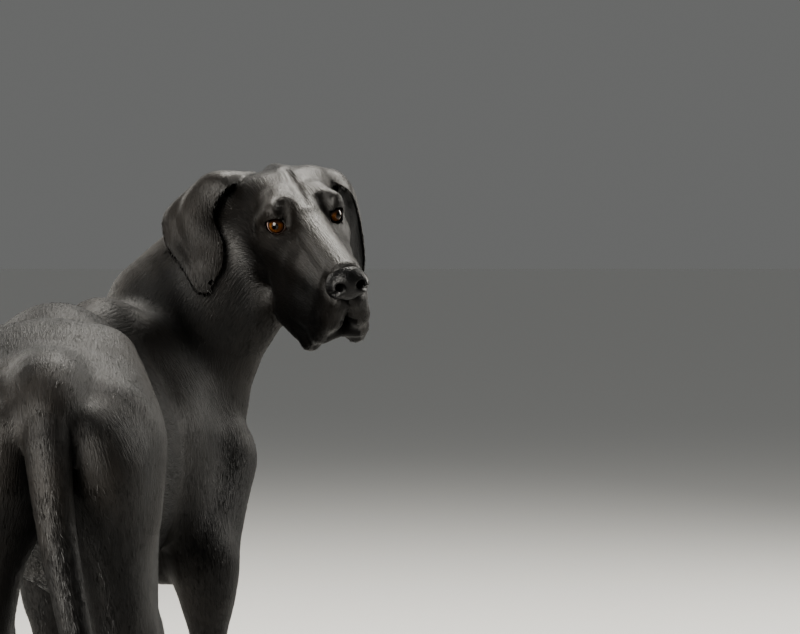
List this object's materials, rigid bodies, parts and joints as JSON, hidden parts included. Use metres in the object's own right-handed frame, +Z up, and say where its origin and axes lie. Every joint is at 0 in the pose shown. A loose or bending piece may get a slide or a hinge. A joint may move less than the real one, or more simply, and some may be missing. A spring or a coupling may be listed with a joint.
{
  "type": "great dane",
  "caption": "Life-size still model of a standing great dane with natural drop ears and a short black coat, looking back over its right shoulder.",
  "frame": {"origin": "on the floor, under the middle of the dog's box", "axes": "+X forward along the rump and loin, +Y to the dog's left, +Z up"},
  "size_m": [0.9502, 0.5252, 0.9868],
  "materials": {
    "coat": "short sleek black coat with a satin sheen",
    "nose_leather": "moist pebbled nose leather",
    "eye": "wet amber iris under a clear front"
  },
  "bodies": {
    "root": {"torso_front": "coat", "torso_rear": "coat", "neck_lower": "coat", "neck_upper": "coat", "nose": "nose_leather", "eye_left": "eye", "eye_right": "eye", "head": "coat", "lower_jaw": "coat", "foreleg_left_forearm": "coat", "foreleg_left_pastern": "coat", "foreleg_left_paw": "coat", "hindleg_left_thigh": "coat", "hindleg_left_shin": "coat", "hindleg_left_hock": "coat", "hindleg_left_paw": "coat", "foreleg_right_forearm": "coat", "foreleg_right_pastern": "coat", "foreleg_right_paw": "coat", "hindleg_right_thigh": "coat", "hindleg_right_shin": "coat", "hindleg_right_hock": "coat", "hindleg_right_paw": "coat", "ear_left": "coat", "ear_right": "coat", "tail_root": "coat", "tail_middle": "coat", "tail_tip": "coat"}
  },
  "joints": []
}
